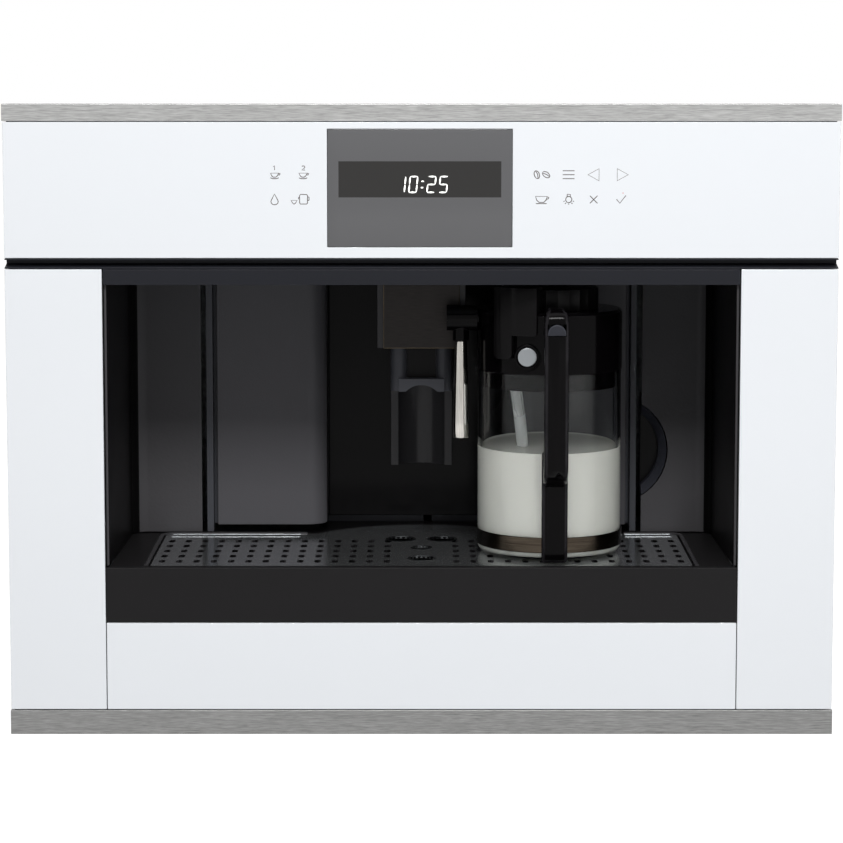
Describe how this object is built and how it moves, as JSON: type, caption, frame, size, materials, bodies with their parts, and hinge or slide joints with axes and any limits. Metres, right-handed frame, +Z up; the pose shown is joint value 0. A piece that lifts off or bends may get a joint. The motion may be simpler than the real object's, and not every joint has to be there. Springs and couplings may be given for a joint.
{
  "type": "built in coffee machine",
  "caption": "Built-in bean-to-cup coffee machine with a glass front, swing-out service door, height-adjustable spout, docked milk jug and drip tray, pulled out of its niche on rails.",
  "frame": {"origin": "bottom centre of the whole object, under its front frame", "axes": "+X to the right seen from the front, +Y into the cabinet, +Z up"},
  "size_m": [0.595, 0.397, 0.455],
  "materials": {
    "white_glass": "back-painted white glass, polished",
    "grey_print": "grey printed glass, polished",
    "jug_glass": "clear polished glass",
    "brushed_steel": "brushed",
    "polished_steel": "polished",
    "steel": "machined",
    "chrome": "mirror polish",
    "zinc_sheet": "galvanised sheet",
    "brass": "machined",
    "black_gloss": "high gloss",
    "black_matt": "satin",
    "slate_matt": "satin",
    "grey_plastic": "satin",
    "clear_plastic": "translucent",
    "silver_button": "silver lacquer",
    "board_green": "circuit board",
    "silicone": "matt"
  },
  "bodies": {
    "rails_fixed": {"rail_outer_left": "zinc_sheet", "rail_outer_right": "zinc_sheet"},
    "rails_middle": {"rail_mid_left": "zinc_sheet", "rail_mid_right": "zinc_sheet"},
    "machine": {"control_glass": "white_glass", "display_panel": "grey_print", "side_glass_left": "white_glass", "side_glass_right": "white_glass", "lower_glass": "white_glass", "trim_strip_top": "brushed_steel", "trim_strip_bottom": "brushed_steel", "groove_profile": "black_matt", "cavity_bar": "slate_matt", "fascia_carrier": "black_matt", "control_board": "board_green", "housing_shell": "zinc_sheet", "housing_rear": "zinc_sheet", "housing_top": "zinc_sheet", "chassis_deck": "zinc_sheet", "cavity_ceiling": "zinc_sheet", "liner_left": "black_gloss", "liner_right": "black_gloss", "door_sill": "black_matt", "water_tank": "clear_plastic", "grounds_container": "grey_plastic", "brew_group_body": "grey_plastic", "grinder_body": "grey_plastic", "grinder_motor": "zinc_sheet", "bean_hopper": "clear_plastic", "coffee_boiler": "brushed_steel", "steam_boiler": "brushed_steel", "pressure_hose": "silicone", "water_pump": "grey_plastic", "power_board": "board_green", "mains_inlet": "black_matt"},
    "door": {"door_panel": "black_gloss", "door_trim_left": "grey_plastic", "door_trim_right": "grey_plastic", "spout_housing": "black_gloss", "spout_plate": "brushed_steel", "steam_coupler": "grey_plastic"},
    "spout": {"coffee_spout": "grey_plastic"},
    "tray": {"drip_tray": "black_matt", "drip_grid": "polished_steel"},
    "jug": {"jug_glass": "jug_glass", "jug_band": "brushed_steel", "jug_handle": "black_gloss", "jug_lid": "black_gloss", "milk_intake_tube": "clear_plastic"},
    "clean_key": {"clean_button": "silver_button"},
    "release_key": {"lid_release_key": "black_matt"},
    "selector": {"froth_selector": "black_matt"},
    "milk_outlet": {"milk_spout_elbow": "black_gloss", "milk_spout_tube": "chrome"},
    "piston": {"brew_piston": "grey_plastic"},
    "drive_nut": {"brew_drive_nut": "brass"},
    "burr": {"grinder_burr": "steel"},
    "hopper_cover": {"hopper_lid": "grey_plastic"},
    "knob": {"grind_knob": "black_matt"}
  },
  "joints": [
    {"name": "pull_out", "type": "slide", "parent": "rails_fixed", "child": "machine", "axis": [0, -1, 0], "range_m": [0, 0.32]},
    {"name": "rail_mid_slide", "type": "slide", "parent": "rails_fixed", "child": "rails_middle", "axis": [0, -1, 0], "range_m": [0, 0.16]},
    {"name": "service_door", "type": "hinge", "parent": "machine", "child": "door", "pos_m": [-0.1628, -0.0335, 0.225], "axis": [0, 0, 1], "range_deg": [-85, 0]},
    {"name": "spout_height", "type": "slide", "parent": "door", "child": "spout", "axis": [0, 0, -1], "range_m": [0, 0.038]},
    {"name": "drip_tray_slide", "type": "slide", "parent": "machine", "child": "tray", "axis": [0, -1, 0], "range_m": [0, 0.2]},
    {"name": "milk_jug_slide", "type": "slide", "parent": "door", "child": "jug", "axis": [0, -1, 0], "range_m": [0, 0.2]},
    {"name": "clean_button_press", "type": "slide", "parent": "jug", "child": "clean_key", "axis": [0, 1, 0], "range_m": [0, 0.0025], "stiffness_N_per_m": 300},
    {"name": "lid_release_press", "type": "slide", "parent": "jug", "child": "release_key", "axis": [0, 1, 0], "range_m": [0, 0.0015], "stiffness_N_per_m": 300},
    {"name": "froth_selector_turn", "type": "hinge", "parent": "jug", "child": "selector", "pos_m": [0.0946, -0.1155, 0.31], "axis": [0, 0, 1], "range_deg": [-22, 0]},
    {"name": "milk_spout_swivel", "type": "hinge", "parent": "jug", "child": "milk_outlet", "pos_m": [0.0412, -0.1205, 0.297], "axis": [1, 0, 0], "range_deg": [-70, 0]},
    {"name": "drive_nut_spin", "type": "hinge", "parent": "machine", "child": "drive_nut", "pos_m": [0.04, 0.0755, 0.102], "axis": [0, 0, 1], "range_deg": [0, 1440]},
    {"name": "piston_lift", "type": "slide", "parent": "machine", "child": "piston", "axis": [0, 0, 1], "range_m": [0, 0.035]},
    {"name": "burr_spin", "type": "hinge", "parent": "machine", "child": "burr", "pos_m": [0.04, 0.0755, 0.37], "axis": [0, 0, 1], "continuous": true},
    {"name": "hopper_lid_hinge", "type": "hinge", "parent": "machine", "child": "hopper_cover", "pos_m": [0.04, 0.1486, 0.4439], "axis": [1, 0, 0], "range_deg": [-100, 0]},
    {"name": "grind_setting", "type": "hinge", "parent": "machine", "child": "knob", "pos_m": [0.175, 0.0755, 0.445], "axis": [0, 0, 1], "range_deg": [-150, 150]}
  ],
  "couplings": [
    {"joint": "rail_mid_slide", "follows": "pull_out", "ratio": 0.5},
    {"joint": "piston_lift", "follows": "drive_nut_spin", "m_per_rad": 0.00139}
  ]
}
